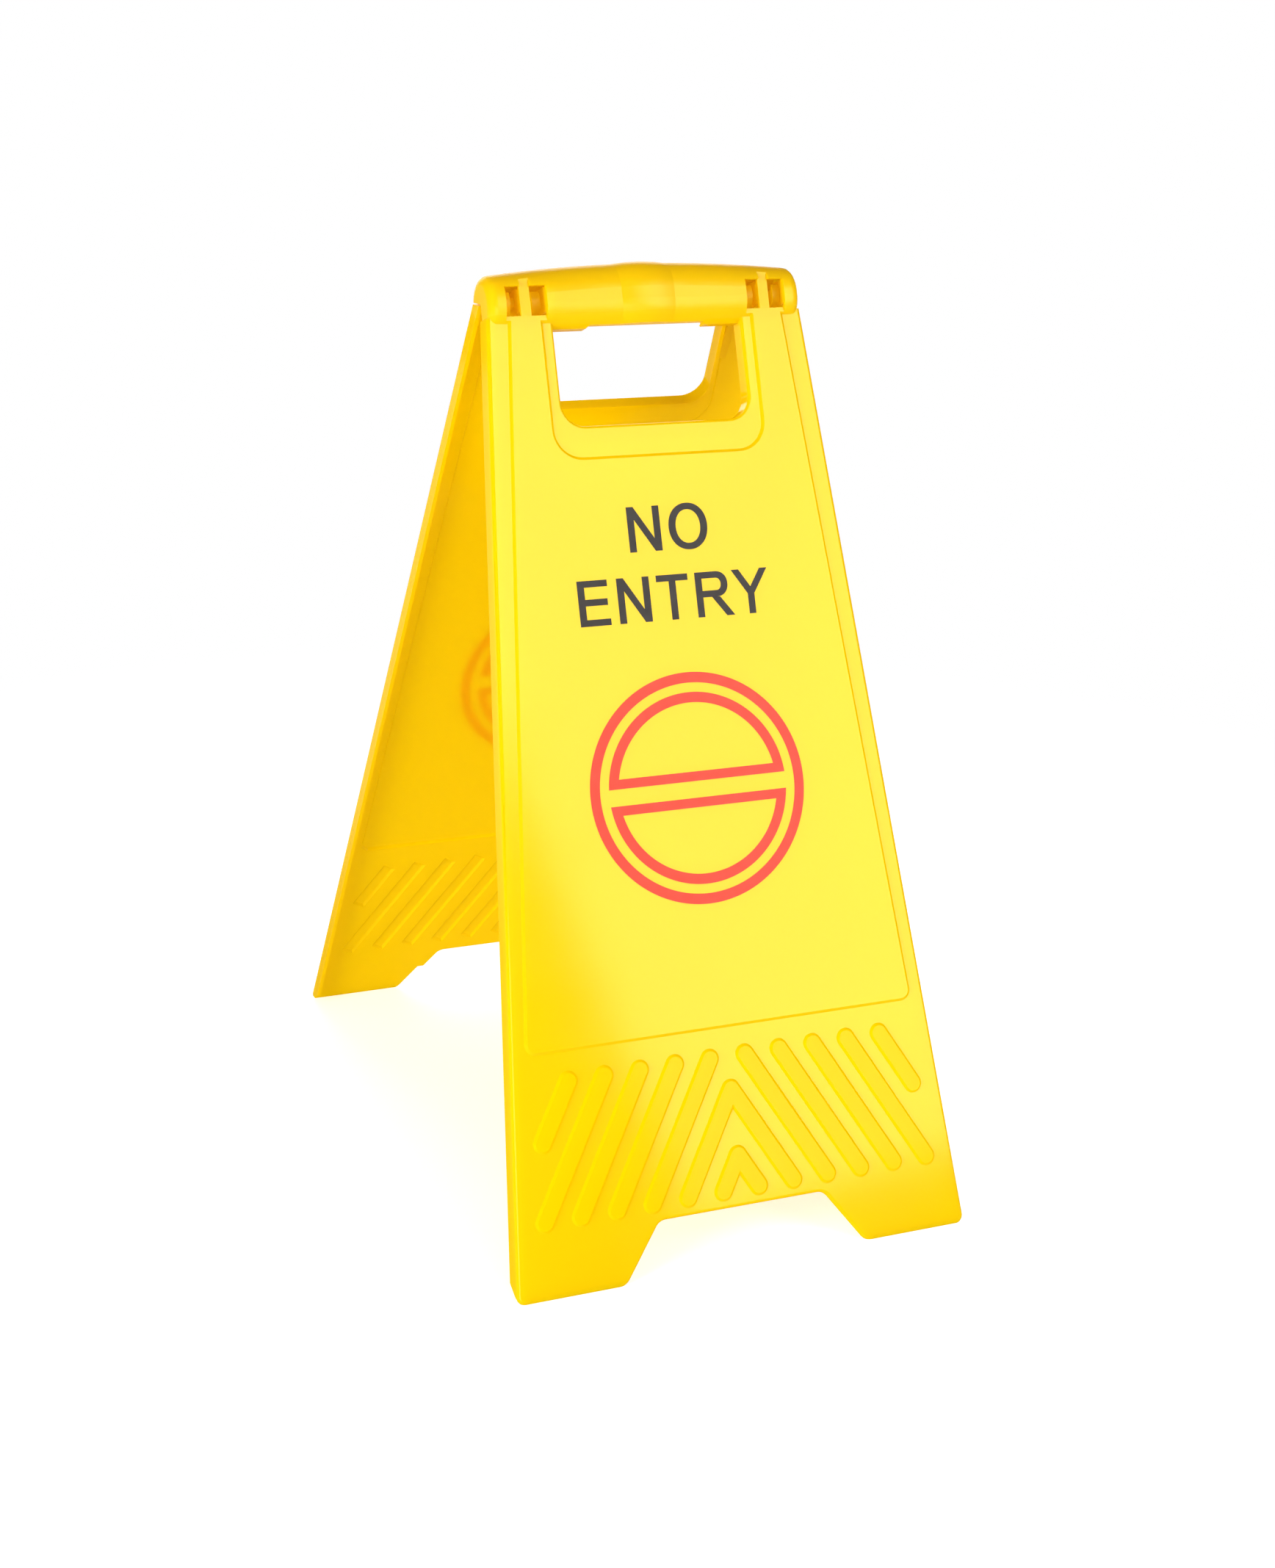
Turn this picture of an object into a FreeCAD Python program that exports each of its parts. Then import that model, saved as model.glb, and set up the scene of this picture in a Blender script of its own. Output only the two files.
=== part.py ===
import FreeCAD, Part
import math
import os
from types import SimpleNamespace

import Sketcher

# A folding A-frame floor sign in moulded plastic: two panels that open like a tent.
# World frame: X across the sign, Y front to back, Z up from the floor, origin on the
# floor midway between the feet. The front panel faces -Y.
# Each panel is drawn in its own frame: x across, y up the panel with zero on the hinge
# axis, z outwards from the mid plane that both panels share when the sign is folded.

FOLDER = "parts"
os.makedirs(FOLDER, exist_ok=True)

# name, value in mm or degrees, what it is
SIZES = [
    ("lean_angle", 21.2, "lean of each open panel from upright"),
    ("reach", 593.5, "hinge axis to the outer edge of a foot, down the panel"),
    ("top_half", 102.5, "half width of a panel at the hinge axis"),
    ("foot_half", 150.0, "half width of a panel across the feet"),
    ("face_out", 12.0, "outer face of a panel from the mid plane"),
    ("rim_out", 0.5, "open rim of the side flanges from the mid plane"),
    ("wall", 2.5, "wall of the mouldings"),
    ("draft", 3.0, "draft of the side flanges"),
    ("edge_round", 2.0, "rounding of the outer edges"),
    ("plate_top", 11.0, "hinge axis down to the top of the front plate"),
    ("foot_round", 5.5, "outer corners of the feet"),
    ("flange_stop", 13.0, "side flanges end this far above the foot edge"),
    ("flange_slant", 9.0, "length of the slanted lower end of a flange"),
    ("cut_drop", 558.3, "hinge axis to the top of the cut-out between the feet"),
    ("cut_top_half", 55.0, "half width of the cut-out at its top"),
    ("cut_low_half", 80.5, "half width of the cut-out at the floor"),
    ("cut_top_round", 8.0, "upper corners of the cut-out"),
    ("cut_low_round", 9.0, "inner corners of the feet"),
    ("field_raise", 1.5, "height of the raised field"),
    ("field_top_half", 89.5, "half width of the field at its top"),
    ("field_low_half", 129.5, "half width of the field at its bottom"),
    ("field_drop", 449.0, "hinge axis to the bottom of the field"),
    ("field_round", 7.0, "lower corners of the field"),
    ("flank_angle", 50.0, "slope of the flanks of raised shapes"),
    ("emboss_inset", 1.2, "inner hollow of a raised shape, in from its outline"),
    ("recess_half", 68.5, "half width of the recess round the hand opening"),
    ("recess_drop", 96.6, "hinge axis to the bottom of the recess"),
    ("recess_round", 17.0, "lower corners of the recess"),
    ("opening_half", 62.0, "half width of the hand opening"),
    ("opening_drop", 77.7, "hinge axis to the bottom of the hand opening"),
    ("opening_round", 14.5, "lower corners of the hand opening"),
    ("lip_out", 1.2, "inner rim of the wall round the opening, from the mid plane"),
    ("lip_round", 1.8, "rounding of the outer edge of the hand opening"),
    ("bar_width", 12.4, "width of a raised bar"),
    ("bar_raise", 1.3, "height of a raised bar"),
    ("bar_angle", 60.0, "slope of the bars from level"),
    ("bar_pitch", 23.05, "spacing of the bars across the panel"),
    ("bar_first", 11.75, "first bar from the middle, at its top end"),
    ("bar_top_drop", 466.5, "hinge axis to the top ends of the bars"),
    ("bar_low_drop", 547.5, "hinge axis to the lower ends of the bars"),
    ("short_low_drop", 501.0, "hinge axis to the lower ends of the outermost bars"),
    ("big_tip_drop", 486.5, "hinge axis to the tip of the large chevron"),
    ("small_tip_drop", 527.0, "hinge axis to the tip of the small chevron"),
    ("hood_radius", 17.5, "rounding of the hood in its middle"),
    ("hood_end_radius", 16.8, "rounding of the hood at its ends"),
    ("hood_height", 22.2, "top of the hood over the hinge axis in the middle"),
    ("hood_end_height", 16.4, "top of the hood over the hinge axis at the ends"),
    ("hood_drop", 2.6, "centre of the lower rounding below the hinge axis"),
    ("hood_end_round", 5.5, "rounding of the ends of the hood"),
    ("hollow_chamfer", 2.0, "chamfer of the ends of the hollow inside the hood"),
    ("hood_edge_angle", 163.0, "rear edge of the hood, turned from straight out"),
    ("skirt_drop", 18.1, "hinge axis to the lower edge of the hood"),
    ("relief_drop", 16.5, "hinge axis to the edge over the finger relief"),
    ("relief_half", 40.0, "half width of the finger relief"),
    ("ridge_half", 19.0, "half width of the swelling in the middle of the hood"),
    ("ridge_raise", 0.8, "height of the swelling in the middle of the hood"),
    ("ridge_out", 1.1, "the swelling stands further out at the front"),
    ("ridge_sink", 0.4, "ends of the swelling lie this far under the hood"),
    ("window_in", 65.7, "inner edge of the inner hinge window"),
    ("window_width", 9.8, "width of a hinge window"),
    ("strap_width", 6.5, "width of the strap between two windows"),
    ("window_rise", 7.5, "hinge axis up to the top of a window"),
    ("window_drop", 10.3, "hinge axis down to the bottom of a window"),
    ("strap_rise", 10.5, "hinge axis up to the top of the strap, inside the hood"),
    ("pin_radius", 3.5, "hinge pin"),
    ("pin_play", 0.08, "play between pin and hook all round"),
    ("rib_wall", 2.0, "ribs that carry the pins"),
    ("rib_radius", 7.5, "ribs round the pins"),
    ("hook_radius", 10.0, "outside of a hook"),
    ("hook_mouth", 5.8, "mouth of a hook, narrower than the pin"),
    ("inner_hook_near", 67.8, "inner side of the inner hook"),
    ("inner_hook_width", 5.4, "width of the inner hook"),
    ("outer_hook_near", 86.9, "inner side of the outer hook"),
    ("outer_hook_width", 4.4, "width of the outer hook"),
    ("gusset_drop", 50.0, "hinge axis to the lower end of the hook gussets"),
    ("tongue_rise", 5.5, "rear plate over the hinge axis, under the hood"),
    ("tongue_play", 3.9, "play between the rear plate and the ends of the hood"),
    ("flange_play", 0.9, "play between the rear flanges and the ends of the hood"),
    ("stop_play", 0.4, "play between the hood edge and the rear field"),
    ("rear_opening_top", 18.5, "hinge axis to the top of the rear hand opening"),
    ("foot_step_drop", 573.0, "hinge axis to the step in the rear cut-out"),
    ("foot_step", 4.5, "width of the step in the rear cut-out"),
]

doc = FreeCAD.newDocument("no_entry_sign")
sheet = doc.addObject("Spreadsheet::Sheet", "Sizes")


class Size:
    """A number together with the sheet formula that it comes from."""

    def __init__(self, value, formula):
        self.value = value
        self.formula = formula

    def __add__(self, other):
        return combine(self, "+", other, self.value + as_size(other).value)

    def __sub__(self, other):
        return combine(self, "-", other, self.value - as_size(other).value)

    def __mul__(self, other):
        return combine(self, "*", other, self.value * as_size(other).value)

    def __truediv__(self, other):
        return combine(self, "/", other, self.value / as_size(other).value)

    def __neg__(self):
        return Size(-self.value, f"(-1 * {self.formula})")


def as_size(item):
    """A plain number becomes a Size, and a Size stays as it is."""
    return item if isinstance(item, Size) else Size(float(item), f"{float(item)}")


def combine(first, sign, second, value):
    """Two sizes joined by a sign, as a value and as a formula."""
    return Size(value, f"({first.formula} {sign} {as_size(second).formula})")


def turned(function, angle):
    """Sine, cosine or tangent of an angle in degrees."""
    value = getattr(math, function)(math.radians(angle.value))
    return Size(value, f"{function}({angle.formula})")


size = SimpleNamespace()
for row, (name, value, meaning) in enumerate(SIZES, start=1):
    sheet.set(f"A{row}", meaning)
    sheet.set(f"B{row}", str(value))
    sheet.setAlias(f"B{row}", name)
    setattr(size, name, Size(value, f"Sizes.{name}"))
doc.recompute()

zero = Size(0.0, "0")
TOUCH = 1e-4

# Values worked out from the driving ones.
hinge_height = (
    size.reach * turned("cos", size.lean_angle) - size.face_out * turned("sin", size.lean_angle)
)
side_slope = (size.foot_half - size.top_half) / size.reach
inner_face = size.face_out - size.wall
field_face = size.face_out + size.field_raise
bar_lean = turned("tan", size.bar_angle)
clear = size.hood_radius * 4.0


def half_width(drop):
    """Half width of a panel at a distance down from the hinge axis."""
    return size.top_half + side_slope * drop


def bind(target, prop, amount):
    """Set a length and tie it to the sheet."""
    amount = as_size(amount)
    setattr(target, prop, amount.value)
    target.setExpression(prop, amount.formula)


def origin_part(body, role):
    """One of the body's own planes or axes."""
    for feature in body.Origin.OriginFeatures:
        if feature.Role == role:
            return feature
    raise ValueError(role)


def new_body(label):
    """An empty body whose label names it."""
    body = doc.addObject("PartDesign::Body", label)
    body.Label = label
    return body


def stand_up(body, yaw):
    """Set a body up at its lean, turned to the front or the rear."""
    tilt = 90 - size.lean_angle.value
    body.Placement = FreeCAD.Placement(
        FreeCAD.Vector(0, 0, hinge_height.value), FreeCAD.Rotation(yaw, 0, tilt)
    )
    base = f"vector(0; 0; {hinge_height.formula})"
    turn = f"rotation({yaw}; 0; 90 - Sizes.lean_angle)"
    body.setExpression("Placement", f"placement({base}; {turn})")


class Drawing:
    """A sketch on one of the body's planes, with its lines and rules written in one go."""

    def __init__(self, body, name, role, offset=zero):
        self.sketch = body.newObject("Sketcher::SketchObject", name)
        self.sketch.AttachmentSupport = [(origin_part(body, role), "")]
        self.sketch.MapMode = "FlatFace"
        self.sketch.AttachmentOffset = FreeCAD.Placement(
            FreeCAD.Vector(0, 0, offset.value), FreeCAD.Rotation()
        )
        self.sketch.setExpression("AttachmentOffset.Base.z", offset.formula)
        self.lines = 0
        self.rules = []
        self.tied = []

    def line(self, geometry, helper=False):
        """Add a line or arc and return its number."""
        self.sketch.addGeometry(geometry, helper)
        self.lines += 1
        return self.lines - 1

    def rule(self, *words):
        """A constraint without a size."""
        self.rules.append(Sketcher.Constraint(*words))

    def dimension(self, kind, places, amount):
        """A constraint tied to the sheet."""
        amount = as_size(amount)
        self.tied.append((len(self.rules), amount.formula))
        self.rules.append(Sketcher.Constraint(kind, *places, amount.value))

    def fix_point(self, element, end, x, y):
        """Hold a point at x, y from the origin."""
        self.dimension("DistanceX", (-1, 1, element, end), x)
        self.dimension("DistanceY", (-1, 1, element, end), y)

    def close(self):
        """Write the constraints and return the finished sketch."""
        self.sketch.addConstraint(self.rules)
        for number, formula in self.tied:
            self.sketch.setExpression(f"Constraints[{number}]", formula)
        self.sketch.Visibility = False
        return self.sketch


def vector(x, y):
    return FreeCAD.Vector(as_size(x).value, as_size(y).value, 0)


def outline(drawing, corners):
    """Closed outline. Each corner is x, y and the radius of its rounding or None."""
    points = [vector(x, y) for x, y, _ in corners]
    count = len(corners)
    cuts = []
    for i, (_, _, radius) in enumerate(corners):
        back = (points[i - 1] - points[i]).normalize()
        ahead = (points[(i + 1) % count] - points[i]).normalize()
        if radius is None:
            cuts.append((points[i], points[i], None))
            continue
        half = back.getAngle(ahead) / 2
        reach = radius.value / math.tan(half)
        middle = points[i] + (back + ahead).normalize() * (radius.value / math.sin(half))
        cuts.append((points[i] + back * reach, points[i] + ahead * reach, middle))
    sides = []
    for i in range(count):
        sides.append(drawing.line(Part.LineSegment(cuts[i][1], cuts[(i + 1) % count][0])))
    for i, (x, y, radius) in enumerate(corners):
        before, after = sides[i - 1], sides[i]
        start, end, middle = cuts[i]
        if radius is None:
            drawing.rule("Coincident", before, 2, after, 1)
            drawing.fix_point(after, 1, x, y)
            continue
        corner = drawing.line(Part.Point(points[i]), True)
        drawing.fix_point(corner, 1, x, y)
        for side in (before, after):
            drawing.rule("PointOnObject", corner, 1, side)
        first = math.atan2(start.y - middle.y, start.x - middle.x)
        last = math.atan2(end.y - middle.y, end.x - middle.x)
        anticlockwise = (last - first) % (2 * math.pi) < math.pi
        span = (first, last) if anticlockwise else (last, first)
        ring = Part.Circle(middle, FreeCAD.Vector(0, 0, 1), radius.value)
        arc = drawing.line(Part.ArcOfCircle(ring, *span))
        near, far = (1, 2) if anticlockwise else (2, 1)
        drawing.rule("Tangent", before, 2, arc, near)
        drawing.rule("Tangent", arc, far, after, 1)
        drawing.dimension("Radius", (arc,), radius)


def slot(drawing, start, end, radius):
    """Two half circles joined by straight sides, between two centres."""
    first, last = vector(*start), vector(*end)
    heading = math.atan2(last.y - first.y, last.x - first.x)
    quarter = math.pi / 2
    arcs = []
    for centre, angle in ((first, heading + quarter), (last, heading - quarter)):
        ring = Part.Circle(centre, FreeCAD.Vector(0, 0, 1), radius.value)
        arcs.append(drawing.line(Part.ArcOfCircle(ring, angle, angle + math.pi)))
    side = FreeCAD.Vector(-math.sin(heading), math.cos(heading), 0) * radius.value
    right = drawing.line(Part.LineSegment(first - side, last - side))
    left = drawing.line(Part.LineSegment(last + side, first + side))
    drawing.rule("Tangent", arcs[0], 2, right, 1)
    drawing.rule("Tangent", right, 2, arcs[1], 1)
    drawing.rule("Tangent", arcs[1], 2, left, 1)
    drawing.rule("Tangent", left, 2, arcs[0], 1)
    drawing.rule("Equal", arcs[0], arcs[1])
    drawing.dimension("Radius", (arcs[0],), radius)
    drawing.fix_point(arcs[0], 3, *start)
    drawing.fix_point(arcs[1], 3, *end)


def full_circle(drawing, x, y, radius):
    """A full circle round x, y."""
    ring = drawing.line(Part.Circle(vector(x, y), FreeCAD.Vector(0, 0, 1), radius.value))
    drawing.fix_point(ring, 3, x, y)
    drawing.dimension("Radius", (ring,), radius)


def extrude(body, kind, name, sketch, length, backwards=False, both=False, taper=None):
    """A pad or pocket of a sketch."""
    feature = body.newObject(f"PartDesign::{kind}", name)
    feature.Profile = sketch.close()
    feature.Type = "Length"
    bind(feature, "Length", length)
    feature.Reversed = backwards
    feature.SideType = "Symmetric" if both else "One side"
    if taper is not None:
        bind(feature, "TaperAngle", taper)
    body.Tip = feature
    doc.recompute()
    report(feature)
    return feature


def report(feature):
    """Stop if a feature failed."""
    bad = [word for word in feature.State if word in ("Invalid", "Error")]
    if bad or feature.Shape.isNull() or not feature.Shape.isValid():
        raise RuntimeError(f"{feature.Name} failed: {feature.State}")


def mirrored(points):
    """Right-hand corners of a shape, followed by their mirror images."""
    return points + [(-x, y, radius) for x, y, radius in reversed(points)]


def edges_of(feature, wanted):
    """Names of the edges for which wanted is true."""
    return [
        f"Edge{i}" for i, edge in enumerate(feature.Shape.Edges, start=1) if wanted(edge)
    ]


def blend_edges(body, kind, name, reach, wanted):
    """Fillet or chamfer the edges for which wanted is true."""
    base = body.Tip
    names = edges_of(base, wanted)
    if not names:
        raise RuntimeError(f"{name} found no edge")
    feature = body.newObject(f"PartDesign::{kind}", name)
    feature.Base = (base, names)
    bind(feature, "Radius" if kind == "Fillet" else "Size", reach)
    body.Tip = feature
    doc.recompute()
    report(feature)
    return feature


def flat_at(shape, axis, value):
    """True for an edge or face that lies in the plane where this coordinate is the value."""
    box = shape.BoundBox
    low = getattr(box, axis + "Min")
    high = getattr(box, axis + "Max")
    return abs(low - value) < TOUCH and abs(high - value) < TOUCH


def hood_section(body, name, x, radius, height, out=zero):
    """Outline of the hood across the sign at x: two half circles and straight sides."""
    sketch = Drawing(body, name, "YZ_Plane", x)
    slot(sketch, (-size.hood_drop, out), (height - radius, out), radius)
    return sketch


def hood_bar(body, name, kind, half, end_radius, end_height, radius, height, out=zero):
    """A crowned bar: lofted from the right end over the middle to the left end."""
    right = hood_section(body, f"{name}_right", half, end_radius, end_height)
    middle = hood_section(body, f"{name}_middle", zero, radius, height, out)
    left = hood_section(body, f"{name}_left", -half, end_radius, end_height)
    loft = body.newObject(f"PartDesign::{kind}Loft", name)
    loft.Profile = right.close()
    loft.Sections = [middle.close(), left.close()]
    loft.Ruled = False
    body.Tip = loft
    doc.recompute()
    report(loft)
    return loft


def blend_ends(body, kind, name, reach, half):
    """Fillet or chamfer the edges that lie in the planes at both ends."""
    end = half.value
    blend_edges(
        body, kind, name, reach, lambda edge: flat_at(edge, "X", end) or flat_at(edge, "X", -end)
    )


def hood_space(body, name):
    """Cut the quarter where the rear panel comes in: behind the rim and below the edge."""
    edge_y = turned("sin", size.hood_edge_angle) * clear
    edge_z = turned("cos", size.hood_edge_angle) * clear
    sketch = Drawing(body, name, "YZ_Plane")
    corners = [(zero, size.rim_out), (edge_y, edge_z), (-clear, edge_z), (-clear, size.rim_out)]
    outline(sketch, [(y, z, None) for y, z in corners])
    extrude(body, "Pocket", name + "_cut", sketch, clear * 4.0, both=True)


def hood(body):
    """The grip over the hinge: a crowned tube with closed ends, open behind and below."""
    hood_bar(
        body,
        "hood_bar",
        "Additive",
        size.top_half,
        size.hood_end_radius,
        size.hood_end_height,
        size.hood_radius,
        size.hood_height,
    )
    hood_bar(
        body,
        "swelling",
        "Additive",
        size.ridge_half,
        size.hood_radius - size.ridge_sink,
        size.hood_height - size.ridge_sink,
        size.hood_radius + size.ridge_raise,
        size.hood_height + size.ridge_raise,
        size.ridge_out,
    )
    blend_ends(body, "Fillet", "hood_ends", size.hood_end_round, size.top_half)
    hood_bar(
        body,
        "hood_hollow",
        "Subtractive",
        size.top_half - size.wall,
        size.hood_end_radius - size.wall,
        size.hood_end_height - size.wall,
        size.hood_radius - size.wall,
        size.hood_height - size.wall,
    )
    blend_ends(
        body, "Chamfer", "hollow_ends", size.hollow_chamfer, size.top_half - size.wall
    )
    hood_space(body, "hinge_space")
    skirt = Drawing(body, "skirt_edge", "YZ_Plane")
    corners = [(-size.skirt_drop, clear), (-size.skirt_drop, -clear), (-clear, -clear)]
    outline(skirt, [(y, z, None) for y, z in corners + [(-clear, clear)]])
    extrude(body, "Pocket", "skirt_trim", skirt, size.top_half * 3.0, both=True)
    relief = Drawing(body, "relief_edge", "XY_Plane")
    right = [
        (size.relief_half - size.wall, -size.relief_drop, None),
        (size.relief_half + size.wall, -size.skirt_drop - size.wall, None),
    ]
    outline(relief, mirrored(right))
    extrude(body, "Pocket", "finger_relief", relief, clear, both=True)


def sheet_plate(body, top, step):
    """The plate with its side flanges, as a solid block, rounded along its outer edge."""
    sketch = Drawing(body, "plate", "XY_Plane", size.face_out)
    right = top + [(size.foot_half, -size.reach, size.foot_round)]
    cut_slope = (size.cut_low_half - size.cut_top_half) / (size.reach - size.cut_drop)
    if step:
        out = size.foot_step
        at_step = size.cut_top_half + cut_slope * (size.foot_step_drop - size.cut_drop)
        right.append((size.cut_low_half + out, -size.reach, size.cut_low_round))
        right.append((at_step + out, -size.foot_step_drop, None))
        right.append((at_step, -size.foot_step_drop, None))
    else:
        right.append((size.cut_low_half, -size.reach, size.cut_low_round))
    right.append((size.cut_top_half, -size.cut_drop, size.cut_top_round))
    outline(sketch, mirrored(right))
    depth = size.face_out - size.rim_out
    extrude(body, "Pad", "block", sketch, depth, backwards=True, taper=size.draft)
    face = size.face_out.value
    edge_top = -size.plate_top.value
    blend_edges(
        body,
        "Fillet",
        "outer_edges",
        size.edge_round,
        lambda edge: flat_at(edge, "Z", face) and edge.BoundBox.YMin < edge_top - 1,
    )


def hollow_plate(body, top):
    """Hollow the block from its rim, leaving the plate and the two side flanges."""
    sketch = Drawing(body, "hollow", "XY_Plane", inner_face)
    gain = size.wall * turned("tan", size.draft)
    inset = size.wall - gain
    low = size.reach + size.wall * 4.0
    right = [
        (half_width(-top) - inset, top, None),
        (half_width(low) - inset, -low, None),
    ]
    outline(sketch, mirrored(right))
    extrude(body, "Pocket", "hollow_cut", sketch, inner_face, taper=size.draft)
    ends = Drawing(body, "flange_ends", "YZ_Plane")
    stop = size.reach - size.flange_stop
    corners = [
        (-stop, zero),
        (-stop - size.flange_slant, inner_face),
        (-low, inner_face),
        (-low, zero),
    ]
    outline(ends, [(y, z, None) for y, z in corners])
    extrude(body, "Pocket", "flange_end_cut", ends, size.foot_half * 3.0, both=True)


def field_corners(top, inset):
    """Outline of the raised field, with the recess for the hand opening left out."""
    slope = (size.field_low_half - size.field_top_half) / size.field_drop
    top_half = size.field_top_half + slope * top - inset
    bottom = size.field_drop - inset
    right = [
        (size.recess_half + inset, -size.recess_drop - inset, size.recess_round),
        (size.recess_half + inset, -top - inset, None),
        (top_half, -top - inset, None),
        (size.field_low_half - inset, -bottom, size.field_round),
    ]
    left = [(-x, y, radius) for x, y, radius in reversed(right)]
    return right + left


def field(body, top):
    """Raise the field on the outer face and hollow it behind."""
    raised = Drawing(body, "field", "XY_Plane", size.face_out)
    outline(raised, field_corners(top, zero))
    extrude(body, "Pad", "field_pad", raised, size.field_raise, taper=-size.flank_angle)
    sunk = Drawing(body, "field_back", "XY_Plane", inner_face)
    outline(sunk, field_corners(top, size.emboss_inset))
    extrude(
        body,
        "Pocket",
        "field_hollow",
        sunk,
        size.field_raise,
        backwards=True,
        taper=-size.flank_angle,
    )


def strip(drawing, start, end, half):
    """A straight strip between two points, square at its ends."""
    first, last = vector(*start), vector(*end)
    along = (last - first).normalize()
    lean = Size(along.x, "cos(Sizes.bar_angle)" if along.x > 0 else "(-1 * cos(Sizes.bar_angle))")
    fall = Size(along.y, "(-1 * sin(Sizes.bar_angle))")
    across = (-fall * half, lean * half)
    corners = [
        (start[0] - across[0], start[1] - across[1], None),
        (end[0] - across[0], end[1] - across[1], None),
        (end[0] + across[0], end[1] + across[1], None),
        (start[0] + across[0], start[1] + across[1], None),
    ]
    outline(drawing, corners)


def bar_slots(sketch, shape, radius):
    """The sloping bars, four long and one short on each side."""
    for side in (1.0, -1.0):
        for count in range(5):
            x = size.bar_first + size.bar_pitch * count
            low = size.short_low_drop if count == 4 else size.bar_low_drop
            shift = (low - size.bar_top_drop) / bar_lean
            shape(sketch, (x * side, -size.bar_top_drop), ((x + shift) * side, -low), radius)


def chevron_slots(sketch, shape, radius, side):
    """One arm of each of the two chevrons."""
    for tip in (size.big_tip_drop, size.small_tip_drop):
        shift = (size.bar_low_drop - tip) / bar_lean
        shape(sketch, (zero, -tip), (shift * side, -size.bar_low_drop), radius)


def bars(body):
    """Raise the bars and chevrons on the outer face and hollow them behind."""
    radius = size.bar_width / 2.0
    inner = radius - size.emboss_inset
    drawings = [
        ("bars", lambda sketch, shape, r: bar_slots(sketch, shape, r)),
        ("right_arms", lambda sketch, shape, r: chevron_slots(sketch, shape, r, 1.0)),
        ("left_arms", lambda sketch, shape, r: chevron_slots(sketch, shape, r, -1.0)),
    ]
    for name, draw in drawings:
        raised = Drawing(body, name, "XY_Plane", size.face_out)
        draw(raised, slot, radius)
        extrude(
            body, "Pad", name + "_pad", raised, size.bar_raise, taper=-size.flank_angle
        )
        sunk = Drawing(body, name + "_back", "XY_Plane", inner_face)
        draw(sunk, strip, inner)
        extrude(
            body,
            "Pocket",
            name + "_hollow",
            sunk,
            size.bar_raise,
            backwards=True,
            taper=-size.flank_angle,
        )


def opening_corners(grow, top):
    """Outline of the hand opening, grown outwards all round."""
    right = [
        (size.opening_half + grow, -top + grow, None),
        (size.opening_half + grow, -size.opening_drop - grow, size.opening_round + grow),
    ]
    return mirrored(right)


def hand_opening(body, top, ring_top):
    """The hand opening with a wall round it that turns inwards."""
    ring = Drawing(body, "ring", "XY_Plane", size.lip_out)
    outline(ring, opening_corners(size.wall, ring_top))
    depth = size.face_out - size.lip_out - size.wall / 2.0
    extrude(body, "Pad", "ring_wall", ring, depth)
    hole = Drawing(body, "hole", "XY_Plane", field_face)
    outline(hole, opening_corners(zero, top))
    extrude(body, "Pocket", "hole_cut", hole, field_face)
    face = size.face_out.value
    half = size.opening_half.value
    low = -size.opening_drop.value
    blend_edges(
        body,
        "Fillet",
        "opening_edge",
        size.lip_round,
        lambda edge: flat_at(edge, "Z", face)
        and edge.BoundBox.XMax < half + 1
        and edge.BoundBox.XMin > -half - 1
        and edge.BoundBox.YMin > low - 1,
    )


def feet(body):
    """Trim the feet so that they stand flat on the floor when the sign is open."""
    sine, cosine = turned("sin", size.lean_angle), turned("cos", size.lean_angle)
    high = field_face + size.wall
    below = -size.reach * 1.1
    corners = [
        (-(hinge_height + sine * high) / cosine, high),
        (-hinge_height / cosine, zero),
        (below, zero),
        (below, high),
    ]
    sketch = Drawing(body, "floor", "YZ_Plane")
    outline(sketch, [(y, z, None) for y, z in corners])
    extrude(body, "Pocket", "floor_trim", sketch, size.foot_half * 3.0, both=True)


def rectangle(x_near, x_far, y_low, y_high):
    """Corners of an upright rectangle."""
    return [
        (x_near, y_low, None),
        (x_far, y_low, None),
        (x_far, y_high, None),
        (x_near, y_high, None),
    ]


def swapped(corners):
    """The mirror image of a shape, drawn in the same sense."""
    return [(-x, y, radius) for x, y, radius in reversed(corners)]


def windows(body):
    """Cut the hinge windows through the hood and flatten the strap between them."""
    near = size.window_in
    strap_near = near + size.window_width
    strap_far = strap_near + size.strap_width
    far = strap_far + size.window_width
    low = -size.window_drop - size.wall * 2.0
    strap_top = size.hood_radius
    flat = [
        (near, low, None),
        (far, low, None),
        (far, size.window_rise, None),
        (strap_far, size.window_rise, None),
        (strap_far, strap_top, None),
        (strap_near, strap_top, None),
        (strap_near, size.window_rise, None),
        (near, size.window_rise, None),
    ]
    sketch = Drawing(body, "hood_flat", "XY_Plane", field_face)
    outline(sketch, flat)
    outline(sketch, swapped(flat))
    extrude(body, "Pocket", "hood_flat_cut", sketch, size.hood_radius, backwards=True)
    sketch = Drawing(body, "window", "XY_Plane", size.hook_radius + size.rim_out)
    for x_near, x_far in ((near, strap_near), (strap_far, far)):
        corners = rectangle(x_near, x_far, -size.window_drop, size.window_rise)
        outline(sketch, corners)
        outline(sketch, swapped(corners))
    extrude(body, "Pocket", "window_cut", sketch, size.hood_radius, backwards=True)
    sketch = Drawing(body, "strap", "XY_Plane", field_face - size.wall)
    corners = rectangle(strap_near, strap_far, low, size.strap_rise)
    outline(sketch, corners)
    outline(sketch, swapped(corners))
    extrude(body, "Pad", "strap_pad", sketch, size.wall)


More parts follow.
